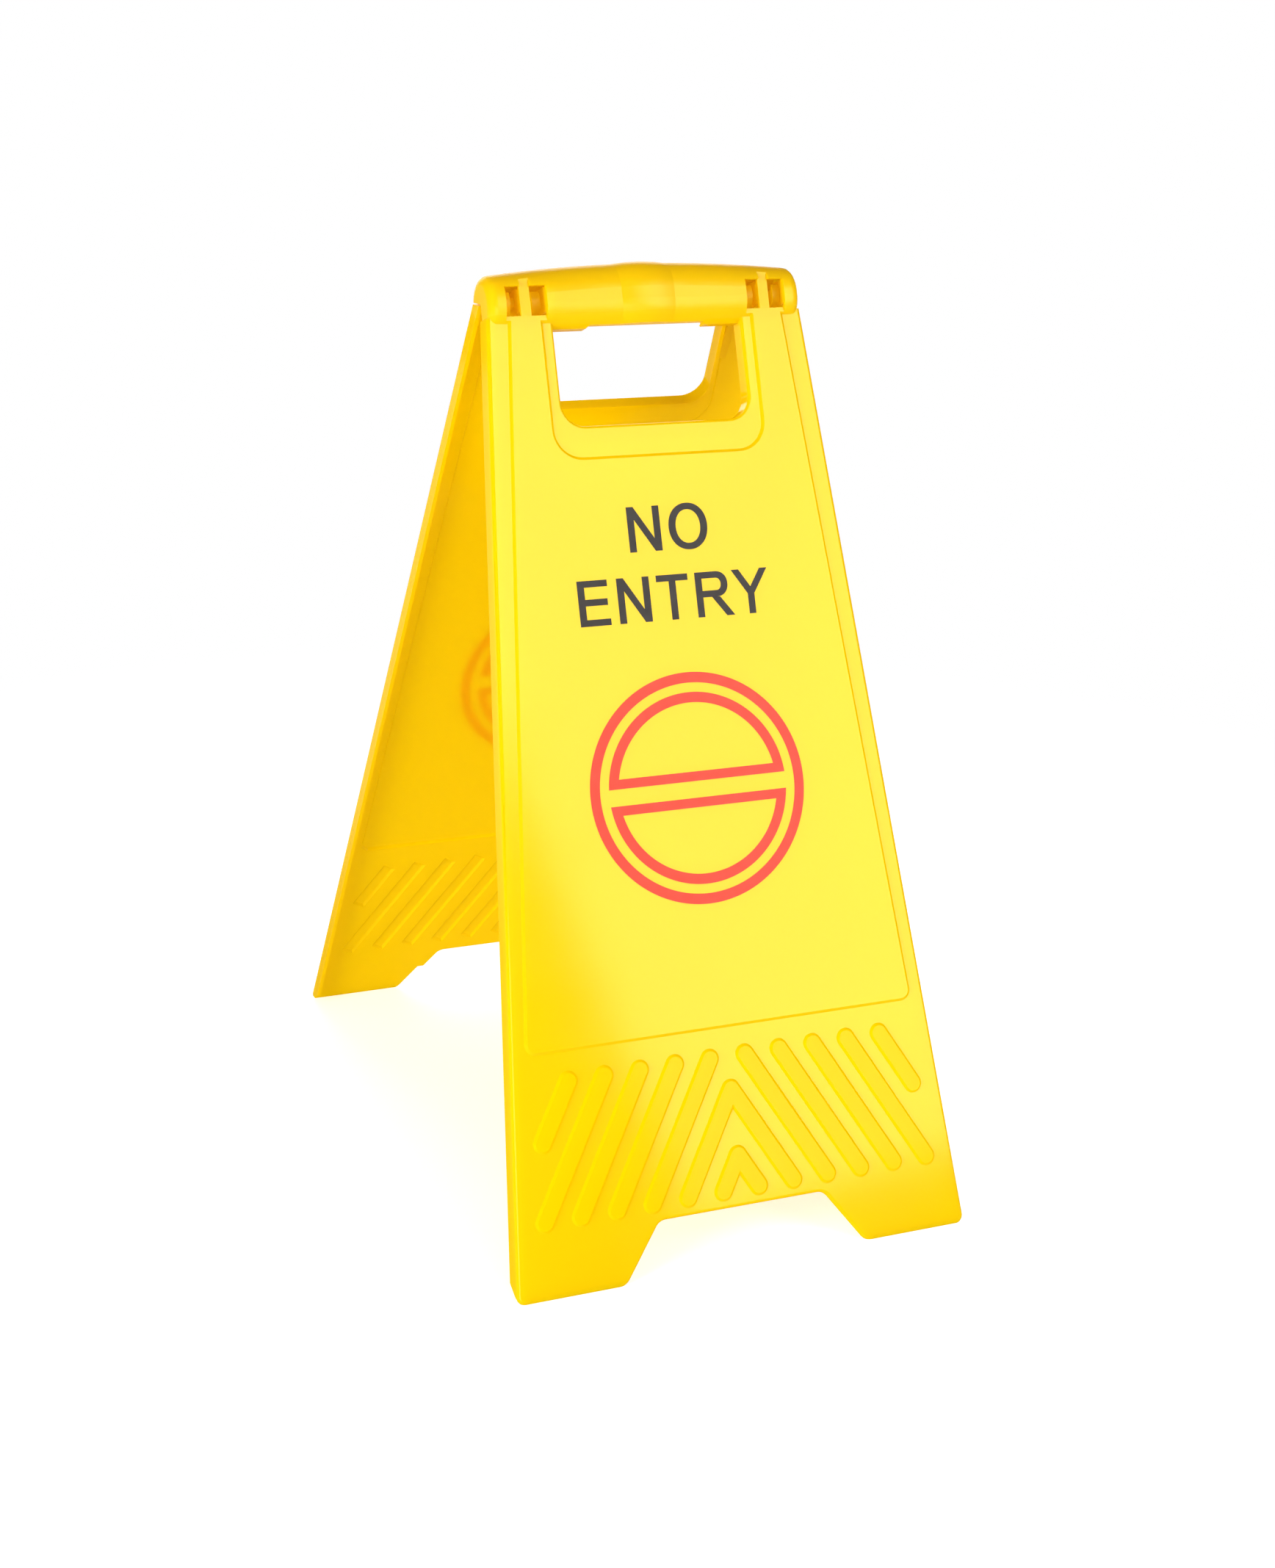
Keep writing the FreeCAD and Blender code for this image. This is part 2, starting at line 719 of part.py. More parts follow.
def pins(body):
    """The hinge pins and the ribs that carry them from the front wall of the hood."""
    near = size.window_in
    strap_near = near + size.window_width
    strap_far = strap_near + size.strap_width
    far = strap_far + size.window_width
    strap_reach = field_face - size.rib_radius - size.rim_out
    hood_reach = size.hood_end_radius - size.rib_radius - size.rim_out
    ribs = [
        (near - size.rib_wall - size.rim_out, hood_reach),
        (strap_near, strap_reach),
        (strap_far - size.rib_wall, strap_reach),
        (far + size.rim_out, hood_reach),
    ]
    start = near - size.rib_wall - size.rim_out
    length = far + size.rim_out + size.rib_wall - start
    for word, side in (("right", 1.0), ("left", -1.0)):
        pin = Drawing(body, f"{word}_pin", "YZ_Plane", start * side)
        full_circle(pin, zero, zero, size.pin_radius)
        extrude(body, "Pad", f"{word}_pin_pad", pin, length, backwards=side < 0)
        for number, (x, reach) in enumerate(ribs, start=1):
            rib = Drawing(body, f"{word}_rib_{number}", "YZ_Plane", x * side)
            slot(rib, (zero, zero), (zero, reach), size.rib_radius)
            extrude(
                body,
                "Pad",
                f"{word}_rib_{number}_pad",
                rib,
                size.rib_wall,
                backwards=side < 0,
            )


def join(body, part):
    """Fuse another body's shape into this one."""
    joined = body.newObject("PartDesign::Boolean", part.Name + "_joined")
    joined.Type = "Fuse"
    joined.setObjects([part])
    part.Visibility = False
    body.Tip = joined
    doc.recompute()
    report(joined)


def front_panel():
    """The front panel with the hood over the hinge."""
    grip = new_body("hood")
    hood(grip)
    windows(grip)
    pins(grip)
    body = new_body("front_panel")
    stand_up(body, 0)
    corner = (half_width(size.plate_top), -size.plate_top, None)
    sheet_plate(body, [corner], False)
    hollow_plate(body, -size.plate_top / 2.0)
    field(body, size.window_drop)
    bars(body)
    hand_opening(body, -size.wall, size.relief_drop)
    feet(body)
    join(body, grip)
    return body


def hook_slot(body, word, number, x, width, side):
    """One hook round the pin with the gusset that carries it on the plate."""
    name = f"{word}_hook_{number}"
    sketch = Drawing(body, name, "YZ_Plane", x * side)
    seat = size.face_out - size.wall / 2.0 - size.hook_radius
    slot(sketch, (zero, zero), (zero, seat), size.hook_radius)
    extrude(body, "Pad", name + "_pad", sketch, width, backwards=side < 0)
    sketch = Drawing(body, name + "_gusset", "YZ_Plane", x * side)
    seat = size.face_out - size.rim_out
    corners = [
        (-size.pin_radius * 1.5, size.pin_radius),
        (-size.gusset_drop, inner_face - size.rim_out),
        (-size.gusset_drop, seat),
        (-size.pin_radius * 1.5, seat),
    ]
    outline(sketch, [(y, z, None) for y, z in corners])
    extrude(body, "Pad", name + "_gusset_pad", sketch, width, backwards=side < 0)


def hooks(body):
    """Snap hooks that hold the hinge pins, open at the top."""
    places = [
        (size.inner_hook_near, size.inner_hook_width),
        (size.outer_hook_near, size.outer_hook_width),
    ]
    bore = size.pin_radius + size.pin_play
    start = size.window_in
    length = size.top_half - size.wall - start
    for word, side in (("right", 1.0), ("left", -1.0)):
        for number, (x, width) in enumerate(places, start=1):
            hook_slot(body, word, number, x, width, side)
        sketch = Drawing(body, f"{word}_bore", "YZ_Plane", start * side)
        full_circle(sketch, zero, zero, bore)
        extrude(body, "Pocket", f"{word}_bore_cut", sketch, length, backwards=side > 0)
        sketch = Drawing(body, f"{word}_mouth", "YZ_Plane", start * side)
        half = size.hook_mouth / 2.0
        corners = [(zero, -half), (size.hook_radius * 2.0, -half)]
        corners += [(size.hook_radius * 2.0, half), (zero, half)]
        outline(sketch, [(y, z, None) for y, z in corners])
        extrude(body, "Pocket", f"{word}_mouth_cut", sketch, length, backwards=side > 0)


def rear_panel():
    """The rear panel, which carries the hooks and tucks under the hood."""
    catches = new_body("catches")
    catches.AllowCompound = True
    hooks(catches)
    body = new_body("rear_panel")
    stand_up(body, 180)
    tongue_half = size.top_half - size.wall - size.tongue_play
    below_edge = size.hood_edge_angle + size.lean_angle * 2.0 - 180.0
    slope = turned("tan", below_edge)
    top = [
        (tongue_half, size.tongue_rise, size.tongue_rise),
        (tongue_half, -size.rim_out, None),
        (half_width(size.rim_out), -size.rim_out, None),
    ]
    sheet_plate(body, top, True)
    hollow_plate(body, size.tongue_rise + size.wall)
    field_top = field_face * slope + size.stop_play
    field(body, field_top)
    bars(body)
    hand_opening(body, size.rear_opening_top, size.rear_opening_top)
    feet(body)
    high = field_face + size.wall
    for word, side in (("right", 1.0), ("left", -1.0)):
        sketch = Drawing(body, f"{word}_shoulder", "YZ_Plane", tongue_half * side)
        corners = [
            (-size.flange_play, zero),
            (-size.flange_play - slope * high, high),
            (clear, high),
            (clear, zero),
        ]
        outline(sketch, [(y, z, None) for y, z in corners])
        extrude(
            body, "Pocket", f"{word}_shoulder_cut", sketch, clear, backwards=side > 0
        )
    join(body, catches)
    return body


front = front_panel()
rear = rear_panel()
for item in doc.Objects:
    if "Invalid" in item.State or "Error" in item.State:
        raise RuntimeError(f"{item.Name}: {item.State}")
for body in (front, rear):
    shape = body.Shape
    if shape.isNull() or not shape.isValid() or len(shape.Solids) != 1:
        raise RuntimeError(f"{body.Label} is not one sound solid")
    shape.exportStep(f"{FOLDER}/{body.Label}.step")
    print(body.Label, round(shape.Volume), shape.BoundBox)
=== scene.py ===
import math

import bpy
import numpy as np
from mathutils import Matrix, Vector


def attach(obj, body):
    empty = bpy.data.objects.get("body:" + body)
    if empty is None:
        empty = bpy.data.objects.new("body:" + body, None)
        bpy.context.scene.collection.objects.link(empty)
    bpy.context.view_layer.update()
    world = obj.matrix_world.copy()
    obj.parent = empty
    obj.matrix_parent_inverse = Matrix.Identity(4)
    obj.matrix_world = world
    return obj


# The yellow folding floor sign: finishes for the moulded panels, the printed words
# and symbol on both outer faces, the floor, the lamps and the camera.
# Panel coordinates, in mm: u across, v down from the hinge axis, n outwards from the
# mid plane that both panels share when the sign is folded.

# Lean of each open panel from upright, and the height of the hinge axis.
LEAN = math.radians(21.2)
HINGE_HEIGHT = 548.995

# Outer face of the raised field, how far the ink stands proud of it, and how far the
# skirt of a printed piece goes down into it.
FIELD = 13.5
INK = 0.06
SUNK = 0.05

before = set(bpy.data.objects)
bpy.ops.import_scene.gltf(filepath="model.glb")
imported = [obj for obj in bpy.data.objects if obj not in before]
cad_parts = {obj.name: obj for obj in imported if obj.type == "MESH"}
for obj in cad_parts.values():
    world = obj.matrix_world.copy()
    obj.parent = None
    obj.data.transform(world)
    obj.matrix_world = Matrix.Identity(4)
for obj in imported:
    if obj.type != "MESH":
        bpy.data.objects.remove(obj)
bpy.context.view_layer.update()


def on_panel(points, rear):
    """World metres of panel points: lean back from the hinge axis, half a turn if rear."""
    u, v, n = points[..., 0], points[..., 1], points[..., 2]
    x = u
    y = -math.sin(LEAN) * v - math.cos(LEAN) * n
    z = HINGE_HEIGHT - math.cos(LEAN) * v + math.sin(LEAN) * n
    if rear:
        x, y = -x, -y
    return np.stack([x, y, z], axis=-1) / 1000.0


# Flat patches. Each is a grid of u, v points, rows by columns.


def leaning(top_left, top_right, bottom_left, bottom_right, top, bottom):
    """Stroke with level ends: its left and right edges go straight from top to bottom."""
    s, t = np.meshgrid([0.0, 1.0], [0.0, 1.0])
    left = top_left + (bottom_left - top_left) * t
    right = top_right + (bottom_right - top_right) * t
    return np.stack([left + (right - left) * s, top + (bottom - top) * t], axis=-1)


def patch(left, top, right, bottom):
    """Upright rectangle: u runs left to right, v from top to bottom."""
    return leaning(left, right, left, right, top, bottom)


def band(centre, outer, inner, start, end, count, power=2.0):
    """Bent stroke between two ovals: for each angle a point at the outer and the inner
    half widths, cos and sin each raised to 2 / power, so 2 is a true ellipse."""
    angle, side = np.meshgrid(np.radians(np.linspace(start, end, count)), [0.0, 1.0])
    half_u = outer[0] + (inner[0] - outer[0]) * side
    half_v = outer[1] + (inner[1] - outer[1]) * side
    c, s = np.cos(angle), np.sin(angle)
    along = np.sign(c) * np.abs(c) ** (2.0 / power)
    down = np.sign(s) * np.abs(s) ** (2.0 / power)
    return np.stack([centre[0] + half_u * along, centre[1] + half_v * down], axis=-1)


def bow(centre, outer, inner, depth, sign, count=97):
    """Arc of a half disc: radius r runs from outer to inner, and at each r the angle
    runs between the two points where the circle is the given depth from the middle."""
    turn, side = np.meshgrid(np.linspace(0.0, 1.0, count), [0.0, 1.0])
    radius = outer + (inner - outer) * side
    first = np.arcsin(depth / radius)
    angle = first + (math.pi - 2.0 * first) * turn
    u = centre[0] + radius * np.cos(angle)
    return np.stack([u, centre[1] + sign * radius * np.sin(angle)], axis=-1)


def chord(centre, inner, depth, width, sign, count=9):
    """Straight side of a half disc: at each distance d from the middle it reaches to
    plus and minus the square root of inner radius squared less d squared."""
    across, down = np.meshgrid(np.linspace(-1.0, 1.0, 2), np.linspace(0.0, 1.0, count))
    distance = depth + width * down
    half = np.sqrt(inner**2 - distance**2)
    return np.stack([centre[0] + half * across, centre[1] + sign * distance], axis=-1)


def inked(name, patches, rear, material):
    """One printed piece: every patch gets a top just proud of the field and a skirt
    that goes down into it, so that it is a closed thin plate from outside."""
    corners, faces = [], []
    start = 0
    for grid in patches:
        rows, columns = grid.shape[:2]
        count = rows * columns
        index = np.arange(count).reshape(rows, columns)
        quads = np.stack(
            [index[:-1, :-1], index[1:, :-1], index[1:, 1:], index[:-1, 1:]], axis=-1
        ).reshape(-1, 4)
        rim = np.concatenate(
            [index[0, :-1], index[:-1, -1], index[-1, :0:-1], index[:0:-1, 0]]
        )
        ahead = np.roll(rim, -1)
        skirt = np.stack([rim, ahead, ahead + count, rim + count], axis=-1)
        flat = grid.reshape(-1, 2)
        for height in (FIELD + INK, FIELD - SUNK):
            corners.append(np.column_stack([flat, np.full(count, height)]))
        closed = np.concatenate([quads, quads[:, ::-1] + count, skirt])
        faces.append(closed + start)
        start += 2 * count
    points = on_panel(np.concatenate(corners), rear)
    mesh = bpy.data.meshes.new(name)
    mesh.from_pydata(points.tolist(), [], np.concatenate(faces).tolist())
    mesh.update()
    mesh.materials.append(material)
    piece = bpy.data.objects.new(name, mesh)
    bpy.context.scene.collection.objects.link(piece)
    point_outwards(piece)
    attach(piece, "rear" if rear else "front")


def point_outwards(piece):
    """Turn every face of a closed piece to the outside."""
    bpy.context.view_layer.objects.active = piece
    piece.select_set(True)
    bpy.ops.object.mode_set(mode="EDIT")
    bpy.ops.mesh.select_all(action="SELECT")
    bpy.ops.mesh.normals_make_consistent(inside=False)
    bpy.ops.object.mode_set(mode="OBJECT")
    piece.select_set(False)


# Letters in block shapes: upright strokes as wide as STEM, level ones as thick as ARM.
# FULL_TURN is the start and the end of a closed ring, in degrees.

TALL = 27.6
STEM = 4.5
ARM = 4.0
FULL_TURN = (0.0, 360.0)


def letter_n(left, top, width):
    """Two stems and a slanted stroke between their inner edges."""
    right, bottom = left + width, top + TALL
    slant = STEM * 1.25
    drop = slant * 1.4
    return [
        patch(left, top, left + STEM, bottom),
        patch(right - STEM, top, right, bottom),
        np.array(
            [
                [[left + STEM, top], [left + STEM, top + drop]],
                [[right - STEM, bottom - drop], [right - STEM, bottom]],
            ]
        ),
    ]


def letter_o(left, top, width):
    """An upright oval ring, a little taller than the other letters."""
    overshoot = 0.5
    side = STEM * 1.05
    centre = (left + width / 2.0, top + TALL / 2.0)
    outer = (width / 2.0, TALL / 2.0 + overshoot)
    inner = (outer[0] - side, outer[1] - ARM)
    return [band(centre, outer, inner, *FULL_TURN, count=97, power=2.12)]


def letter_e(left, top, width):
    """A stem with three arms, each a little shorter than the lowest."""
    bottom = top + TALL
    middle = top + TALL * 0.41
    upper_end = left + width * 0.98
    middle_end = left + width * 0.95
    return [
        patch(left, top, left + STEM, bottom),
        patch(left + STEM, top, upper_end, top + ARM),
        patch(left + STEM, middle, middle_end, middle + ARM),
        patch(left + STEM, bottom - ARM, left + width, bottom),
    ]


def letter_t(left, top, width):
    """A bar with a stem under its middle."""
    stem = left + (width - STEM) / 2.0
    return [
        patch(left, top, left + width, top + ARM),
        patch(stem, top + ARM, stem + STEM, top + TALL),
    ]


def letter_r(left, top, width):
    """A stem, a bowl made of two arms and a half oval, and a straight leg."""
    bottom = top + TALL
    low = top + TALL * 0.565
    bend = left + width * 0.55
    outer = (left + width * 0.87 - bend, (low - top) / 2.0)
    inner = (outer[0] - STEM, outer[1] - ARM)
    centre = (bend, top + outer[1])
    leg = left + width * 0.42
    leg_width = STEM * 1.2
    right = left + width
    return [
        patch(left, top, left + STEM, bottom),
        patch(left + STEM, top, bend, top + ARM),
        patch(left + STEM, low - ARM, bend, low),
        band(centre, outer, inner, -90.0, 90.0, count=33, power=2.2),
        leaning(leg, leg + leg_width, right - leg_width, right, low, bottom),
    ]


def letter_y(left, top, width):
    """Two slanted arms of even stroke that meet over a short stem. The inner edges run
    parallel to the outer ones and meet above the fork."""
    middle = left + width / 2.0
    fork = top + TALL * 0.55
    half = STEM / 2.0
    stroke = STEM * 1.12
    slope = (middle - half - left) / (fork - top)
    crotch = top + (middle - left - stroke) / slope
    arm = np.array(
        [
            [[left, top], [left + stroke, top]],
            [[left + slope * (crotch - top), crotch], [middle, crotch]],
            [[middle - half, fork], [middle, fork]],
        ]
    )
    other = arm[:, ::-1] * [-1.0, 1.0] + [2.0 * middle, 0.0]
    return [arm, other, patch(middle - half, fork, middle + half, top + TALL)]


# The legend: the tops of its two lines, then each letter with its left edge, its line
# and its width.

FIRST_LINE = 128.5
SECOND_LINE = 171.1
LEGEND = [
    (letter_n, -28.5, FIRST_LINE, 21.4),
    (letter_o, -1.7, FIRST_LINE, 25.7),
    (letter_e, -65.4, SECOND_LINE, 19.9),
    (letter_n, -39.8, SECOND_LINE, 21.3),
    (letter_t, -13.8, SECOND_LINE, 20.9),
    (letter_r, 11.8, SECOND_LINE, 24.7),
    (letter_y, 36.4, SECOND_LINE, 24.3),
]


def words(rear, material):
    """The two lines of the legend."""
    strokes = []
    for letter, left, top, width in LEGEND:
        strokes += letter(left, top, width)
    inked("rear_words" if rear else "front_words", strokes, rear, material)


# The round symbol: a ring round two outlined half discs with a level gap between them.
# CHORD is the thickness of their straight sides. The gaps go from the centre to them.

CENTRE = (-0.3, 302.0)
RING_OUTER = 70.8
RING_INNER = 64.4
DISC_OUTER = 58.6
DISC_INNER = 52.3
CHORD = 5.85
UPPER_GAP = 4.3
LOWER_GAP = 5.9


def symbol(rear, material):
    """Ring, two arcs and two chords."""
    outer, inner = (RING_OUTER, RING_OUTER), (RING_INNER, RING_INNER)
    strokes = [band(CENTRE, outer, inner, *FULL_TURN, count=193)]
    for sign, gap in ((-1.0, UPPER_GAP), (1.0, LOWER_GAP)):
        strokes.append(bow(CENTRE, DISC_OUTER, DISC_INNER, gap, sign))
        strokes.append(chord(CENTRE, DISC_INNER, gap, CHORD, sign))
    inked("rear_symbol" if rear else "front_symbol", strokes, rear, material)


# Finishes


def colour(red, green, blue):
    """Scene-linear colour of an 8 bit screen colour."""
    levels = np.array([red, green, blue]) / 255.0
    linear = np.where(levels <= 0.04045, levels / 12.92, ((levels + 0.055) / 1.055) ** 2.4)
    return (*linear.tolist(), 1.0)


def grey(level):
    """Colour with three equal scene-linear levels."""
    return (level, level, level, 1.0)


def finish(name):
    """A new material with its node tree and its main shader."""
    material = bpy.data.materials.new(name)
    material.use_nodes = True
    return material, material.node_tree, material.node_tree.nodes["Principled BSDF"]


def surfaced(tree, shader):
    """Make a shader the surface of its material."""
    tree.links.new(shader, tree.nodes["Material Output"].inputs["Surface"])


def place_on(tree):
    """The piece's own coordinates, in metres."""
    return tree.nodes.new("ShaderNodeTexCoord").outputs["Object"]


def noise(tree, scale, detail, roughness):
    """Fractal noise over the piece, scale in patches per metre."""
    node = tree.nodes.new("ShaderNodeTexNoise")
    node.inputs["Scale"].default_value = scale
    node.inputs["Detail"].default_value = detail
    node.inputs["Roughness"].default_value = roughness
    tree.links.new(place_on(tree), node.inputs["Vector"])
    return node.outputs["Fac"]


def ranged(tree, value, source, target, kind="LINEAR"):
    """A value that goes through the source range turned into the target range."""
    node = tree.nodes.new("ShaderNodeMapRange")
    node.interpolation_type = kind
    for word, limits in (("From", source), ("To", target)):
        node.inputs[f"{word} Min"].default_value = limits[0]
        node.inputs[f"{word} Max"].default_value = limits[1]
    tree.links.new(value, node.inputs["Value"])
    return node.outputs["Result"]


# Most of the noise lies between these two levels.
NOISE_SPAN = (0.3, 0.7)
UNIT = (0.0, 1.0)


def spread(tree, value, low, high):
    """Noise turned into a range of values."""
    return ranged(tree, value, NOISE_SPAN, (low, high))


def step_up(tree, value, limits):
    """Smooth step from 0 at the first limit to 1 at the second."""
    return ranged(tree, value, limits, UNIT, kind="SMOOTHSTEP")


def between(tree, value, first, second):
    """Colour that goes from first to second as the value goes from 0 to 1."""
    node = tree.nodes.new("ShaderNodeMix")
    node.data_type = "RGBA"
    for socket, shade in (("A", first), ("B", second)):
        if isinstance(shade, tuple):
            node.inputs[socket].default_value = shade
        else:
            tree.links.new(shade, node.inputs[socket])
    tree.links.new(value, node.inputs["Factor"])
    return node.outputs["Result"]


def mingled(tree, share, first, second):
    """Surface that goes from first to second as the share goes from 0 to 1."""
    node = tree.nodes.new("ShaderNodeMixShader")
    tree.links.new(share, node.inputs["Fac"])
    tree.links.new(first, node.inputs[1])
    tree.links.new(second, node.inputs[2])
    return node.outputs["Shader"]


def glowing(tree, strength):
    """White light of a surface's own."""
    node = tree.nodes.new("ShaderNodeEmission")
    node.inputs["Strength"].default_value = strength
    return node.outputs["Emission"]


def bumped(tree, height, distance, strength, shader):
    """Surface relief of that many metres."""
    node = tree.nodes.new("ShaderNodeBump")
    node.inputs["Distance"].default_value = distance
    node.inputs["Strength"].default_value = strength
    tree.links.new(height, node.inputs["Height"])
    tree.links.new(node.outputs["Normal"], shader.inputs["Normal"])


def calculate(tree, operation, first, second=None):
    """One sum on two values, each a socket or a number."""
    node = tree.nodes.new("ShaderNodeMath")
    node.operation = operation
    for number, item in enumerate((first, second)):
        if isinstance(item, float):
            node.inputs[number].default_value = item
        elif item is not None:
            tree.links.new(item, node.inputs[number])
    return node.outputs["Value"]


def split(tree, vector):
    """The X, Y and Z of a vector."""
    node = tree.nodes.new("ShaderNodeSeparateXYZ")
    tree.links.new(vector, node.inputs["Vector"])
    return node.outputs


def panel_place(tree):
    """Where a point lies in its panel, in metres: |x| from its middle and, with h the
    height over the hinge, n = cos(lean) |y| + sin(lean) h out of the panel and
    v = sin(lean) |y| - cos(lean) h down it."""
    parts = split(tree, place_on(tree))
    depth = calculate(tree, "ABSOLUTE", parts["Y"])
    height = calculate(tree, "SUBTRACT", parts["Z"], HINGE_HEIGHT / 1000.0)
    joined = tree.nodes.new("ShaderNodeCombineXYZ")
    tree.links.new(depth, joined.inputs["Y"])
    tree.links.new(height, joined.inputs["Z"])
    along = [calculate(tree, "ABSOLUTE", parts["X"])]
    for direction in (
        (0.0, math.cos(LEAN), math.sin(LEAN)),
        (0.0, math.sin(LEAN), -math.cos(LEAN)),
    ):
        dot = tree.nodes.new("ShaderNodeVectorMath")
        dot.operation = "DOT_PRODUCT"
        dot.inputs[1].default_value = direction
        tree.links.new(joined.outputs["Vector"], dot.inputs[0])
        along.append(dot.outputs["Value"])
    return along


# Where the yellow plastic changes its look, in metres. Each pair is the start and the
# end of a smooth step: outwards from the plate to a raised shape, down from the field
# to the bars, away from the hinge axis past the ribs and hooks, outwards into the
# plate, sideways into the closed ends of the grip, and down from the grip to the plate.
RAISED = (0.01204, 0.01225)
BAR_TOPS = (0.455, 0.457)
PAST_HOOKS = (0.0132, 0.0140)
INTO_PLATE = (0.0105, 0.0115)
GRIP_ENDS = (0.0985, 0.0995)
BELOW_GRIP = (0.009, 0.013)

# Roughness of the plates, what the grip has on top of it, and the mirroring of the
# raised bars against that of the rest.
GLOSS = (0.08, 0.11)
GRIP_SATIN = 0.2
BAR_SHINE = 0.35

# Tint of what the plastic mirrors.
MIRROR_TINT = (1.0, 0.85, 0.36, 1.0)

# Share of the light that goes through the ribs and hooks, and how much less of it goes
# through everything else.
THIN_SHARE = 0.85
THICK_LOSS = 0.27


def moulded_yellow():
    """Glossy moulded plastic that lets some light through, with soft flow clouds, a very
    fine orange-peel grain and roughness that wanders a little. The raised bars mirror
    less and have a slightly deeper colour, painted shade for the sheen they lack. The
    grip over the hinge is satin, and the thin ribs and hooks in it, nearer to the hinge
    axis than the grip's skin, let more light through and are a paler yellow, painted
    light for what shines through them."""
    material, tree, shader = finish("moulded_yellow")
    aside, out, down = panel_place(tree)
    proud = step_up(tree, out, RAISED)
    bars = calculate(tree, "MULTIPLY", proud, step_up(tree, down, BAR_TOPS))
    far_down = calculate(tree, "MULTIPLY", down, down)
    far_out = calculate(tree, "MULTIPLY", out, out)
    reach = calculate(tree, "SQRT", calculate(tree, "ADD", far_down, far_out))
    thick = step_up(tree, reach, PAST_HOOKS)
    for value, limits in ((out, INTO_PLATE), (aside, GRIP_ENDS)):
        thick = calculate(tree, "MAXIMUM", thick, step_up(tree, value, limits))

    clouds = noise(tree, scale=9.0, detail=3.0, roughness=0.5)
    plain = between(tree, clouds, colour(250, 222, 2), colour(251, 226, 4))
    # The raised bars get a touch deeper colour: painted shade for the whitish sheen they
    # lack, on top of their lower mirroring.
    plain_with_shaded_bars = between(tree, bars, plain, colour(251, 223, 0))
    # Paler yellow for the thin ribs and hooks: painted light for what shines through them
    # into the grip. It is also the tint of the light they let through.
    thin_lit_yellow = colour(254, 236, 30)
    tint = between(tree, thick, thin_lit_yellow, plain_with_shaded_bars)
    tree.links.new(tint, shader.inputs["Base Color"])

    wander = noise(tree, scale=30.0, detail=3.0, roughness=0.6)
    rough = spread(tree, wander, *GLOSS)
    plate = step_up(tree, down, BELOW_GRIP)
    smoother = calculate(tree, "MULTIPLY", plate, GRIP_SATIN)
    grip = calculate(tree, "SUBTRACT", GRIP_SATIN, smoother)
    tree.links.new(calculate(tree, "ADD", rough, grip), shader.inputs["Roughness"])

    sheen = ranged(tree, bars, UNIT, (1.0, BAR_SHINE))
    tree.links.new(sheen, shader.inputs["Specular IOR Level"])
    shader.inputs["Specular Tint"].default_value = MIRROR_TINT
    shader.inputs["IOR"].default_value = 1.58
    peel = noise(tree, scale=900.0, detail=2.0, roughness=0.5)
    bumped(tree, peel, distance=0.00002, strength=0.35, shader=shader)

    through = tree.nodes.new("ShaderNodeBsdfTranslucent")
    glow_tint = between(tree, thick, thin_lit_yellow, colour(247, 220, 0))
    tree.links.new(glow_tint, through.inputs["Color"])
    loss = calculate(tree, "MULTIPLY", thick, THICK_LOSS)
    share = calculate(tree, "SUBTRACT", THIN_SHARE, loss)
    surfaced(tree, mingled(tree, share, shader.outputs["BSDF"], through.outputs["BSDF"]))
    return material


def ink(name, light, dark, rough):
    """Screen-printed ink: even colour with faint thin spots and a satin surface."""
    material, tree, shader = finish(name)
    spots = noise(tree, scale=160.0, detail=4.0, roughness=0.6)
    tree.links.new(between(tree, spots, dark, light), shader.inputs["Base Color"])
    wander = noise(tree, scale=220.0, detail=3.0, roughness=0.6)
    satin = spread(tree, wander, rough - 0.05, rough + 0.06)
    tree.links.new(satin, shader.inputs["Roughness"])
    shader.inputs["IOR"].default_value = 1.48
    shader.inputs["Specular IOR Level"].default_value = 0.25
    grain = noise(tree, scale=1500.0, detail=2.0, roughness=0.6)
    bumped(tree, grain, distance=0.00001, strength=0.3, shader=shader)
    return material


yellow = moulded_yellow()
black_ink = ink("black_ink", colour(48, 42, 38), colour(40, 34, 31), rough=0.42)
red_ink = ink("red_ink", colour(250, 62, 40), colour(242, 52, 34), rough=0.38)

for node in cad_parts.values():
    node.data.materials.clear()
    node.data.materials.append(yellow)

for behind in (False, True):
    words(behind, black_ink)
    symbol(behind, red_ink)

# Floor: white round the sign, fading out to the white surroundings. FLOOR_FADE is where
# it fades, from the middle, and FAR_BEHIND where its mirror image goes from dim to pale,
# in metres behind the sign.

FLOOR_HALF = 4.0
FLOOR_WHITE = 0.82
FLOOR_ROUGH = 0.9
FLOOR_GLOW = 0.46
FLOOR_FADE = (0.35, 1.1)
FAR_BEHIND = (0.3, 0.8)
MIRRORED_DIM = 0.2
MIRRORED_PALE = 0.65


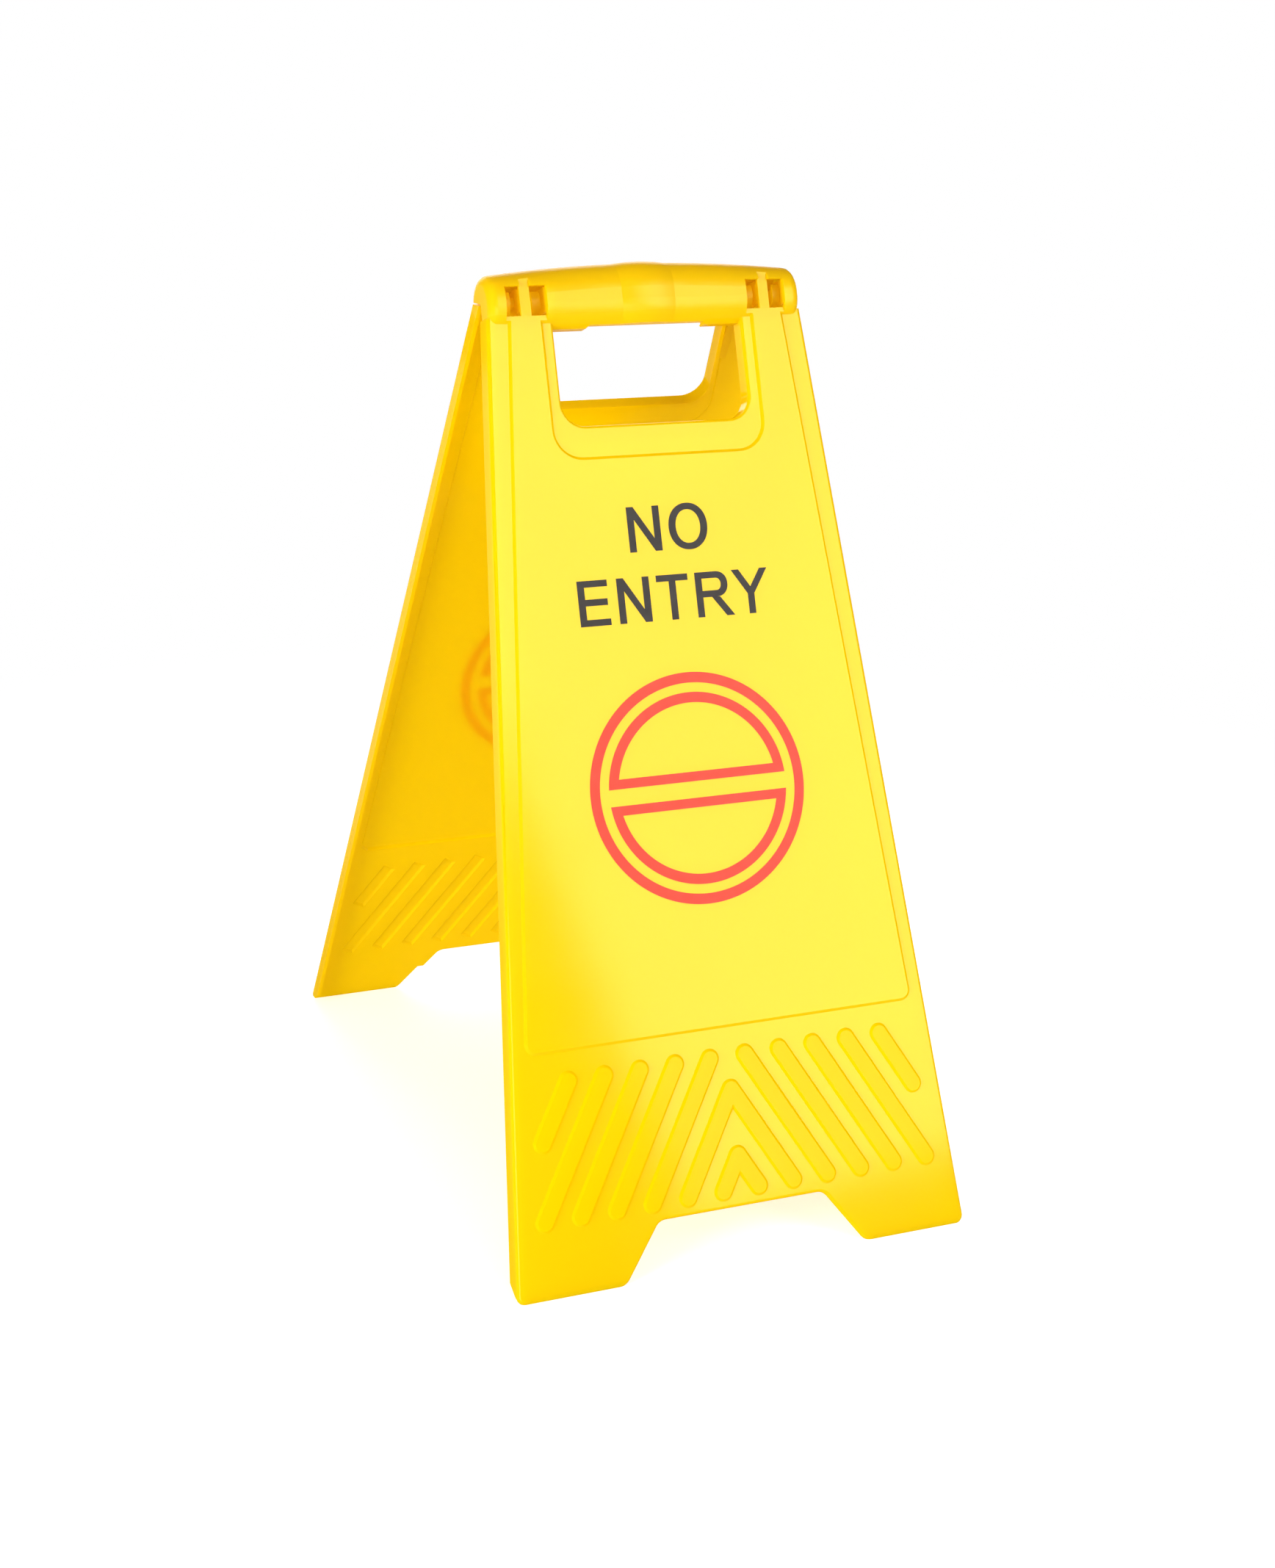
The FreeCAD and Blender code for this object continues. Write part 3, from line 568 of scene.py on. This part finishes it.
def floor_finish():
    """White matt floor. What the camera sees gets a little light of its own, so that it
    meets the white world, and it fades out towards its edge. Gloss mirrors a floor that
    is dim in front and pale far behind the sign."""
    material, tree, shader = finish("studio_floor")
    shader.inputs["Base Color"].default_value = grey(FLOOR_WHITE)
    shader.inputs["Roughness"].default_value = FLOOR_ROUGH
    matt = shader.outputs["BSDF"]
    place = place_on(tree)
    length = tree.nodes.new("ShaderNodeVectorMath")
    length.operation = "LENGTH"
    tree.links.new(place, length.inputs[0])
    fade = step_up(tree, length.outputs["Value"], FLOOR_FADE)
    lifted = tree.nodes.new("ShaderNodeAddShader")
    tree.links.new(matt, lifted.inputs[0])
    tree.links.new(glowing(tree, FLOOR_GLOW), lifted.inputs[1])
    seen = mingled(tree, fade, lifted.outputs["Shader"], glowing(tree, 1.0))
    dim = tree.nodes.new("ShaderNodeBsdfDiffuse")
    dim.inputs["Color"].default_value = grey(MIRRORED_DIM)
    behind_sign = step_up(tree, split(tree, place)["Y"], FAR_BEHIND)
    mirrored = mingled(tree, behind_sign, dim.outputs["BSDF"], glowing(tree, MIRRORED_PALE))
    rays = tree.nodes.new("ShaderNodeLightPath").outputs
    rest = mingled(tree, rays["Is Glossy Ray"], matt, mirrored)
    surfaced(tree, mingled(tree, rays["Is Camera Ray"], rest, seen))
    return material


def floor():
    """A flat square under the feet."""
    half = FLOOR_HALF
    mesh = bpy.data.meshes.new("floor")
    corners = [(-half, -half, 0), (half, -half, 0), (half, half, 0), (-half, half, 0)]
    mesh.from_pydata(corners, [], [(0, 1, 2, 3)])
    mesh.materials.append(floor_finish())
    piece = bpy.data.objects.new("floor", mesh)
    bpy.context.scene.collection.objects.link(piece)


floor()


def surroundings(level, shine):
    """White to the camera, a plain soft light for the rest and a dim one for gloss."""
    world = bpy.data.worlds.new("studio")
    world.use_nodes = True
    bpy.context.scene.world = world
    tree = world.node_tree
    rays = tree.nodes.new("ShaderNodeLightPath")
    soft = tree.nodes.new("ShaderNodeMix")
    soft.inputs["A"].default_value = level
    soft.inputs["B"].default_value = shine
    tree.links.new(rays.outputs["Is Glossy Ray"], soft.inputs["Factor"])
    strength = tree.nodes.new("ShaderNodeMix")
    strength.inputs["B"].default_value = 1.0
    tree.links.new(soft.outputs["Result"], strength.inputs["A"])
    tree.links.new(rays.outputs["Is Camera Ray"], strength.inputs["Factor"])
    back = tree.nodes["Background"]
    back.inputs["Color"].default_value = grey(1.0)
    tree.links.new(strength.outputs["Result"], back.inputs["Strength"])


# Lamps: name, place, the point it looks at, width and height in metres, watts, and
# whether gloss mirrors it.

SIGN_MIDDLE = (0.0, 0.0, 0.3)
LAMPS = [
    ("key_light", (1.14, -1.97, 1.18), (-0.19, -0.32, 0.05), 1.14, 1.67, 32.5, True),
    ("front_light", (-0.5, -2.6, 0.6), SIGN_MIDDLE, 1.6, 1.2, 20.0, True),
    ("side_light", (-2.1, -0.9, 0.7), SIGN_MIDDLE, 1.0, 1.4, 62.0, False),
    ("back_light", (0.3, 2.2, 1.0), SIGN_MIDDLE, 1.8, 1.6, 34.0, True),
]


def lamp(name, place, aim, width, height, watts, mirrored):
    """A soft box that looks at a point."""
    data = bpy.data.lights.new(name, "AREA")
    data.shape = "RECTANGLE"
    data.size = width
    data.size_y = height
    data.energy = watts
    lamp_object = bpy.data.objects.new(name, data)
    lamp_object.location = place
    facing = Vector(aim) - Vector(place)
    lamp_object.rotation_euler = facing.to_track_quat("-Z", "Y").to_euler()
    lamp_object.visible_glossy = mirrored
    bpy.context.scene.collection.objects.link(lamp_object)


surroundings(level=0.35, shine=0.05)
for row in LAMPS:
    lamp(*row)

# Camera, placed from the photo's angle, distance and roll. Lengths are in metres, and
# the focal length, the long side and the offset in pixels of the photo.

AZIMUTH = math.radians(-22.907)
ELEVATION = math.radians(19.556)
ROLL = math.radians(1.958)
DISTANCE = 1.6116
AIM = Vector((0.0, 0.0, 0.2457))
VIEW_END = 50.0
FOCAL = 3346.0
LONG_SIDE = 2135.0
OFFSET = (21.0, -26.4)


def camera():
    """Back from the aim along azimuth and elevation, rolled about the view line."""
    flat = math.cos(ELEVATION)
    back = Vector(
        (math.sin(AZIMUTH) * flat, -math.cos(AZIMUTH) * flat, math.sin(ELEVATION))
    )
    level = (-back).cross(Vector((0.0, 0.0, 1.0))).normalized()
    upright = level.cross(-back)
    right = math.cos(ROLL) * level + math.sin(ROLL) * upright
    up = -math.sin(ROLL) * level + math.cos(ROLL) * upright
    data = bpy.data.cameras.new("camera")
    data.lens = FOCAL / LONG_SIDE * data.sensor_width
    data.shift_x = OFFSET[0] / LONG_SIDE
    data.shift_y = OFFSET[1] / LONG_SIDE
    data.clip_end = VIEW_END
    view = bpy.data.objects.new("camera", data)
    turn = Matrix((right, up, back)).transposed()
    view.matrix_world = Matrix.Translation(AIM + back * DISTANCE) @ turn.to_4x4()
    bpy.context.scene.collection.objects.link(view)
    bpy.context.scene.camera = view


camera()
bpy.context.scene.view_settings.view_transform = "Standard"
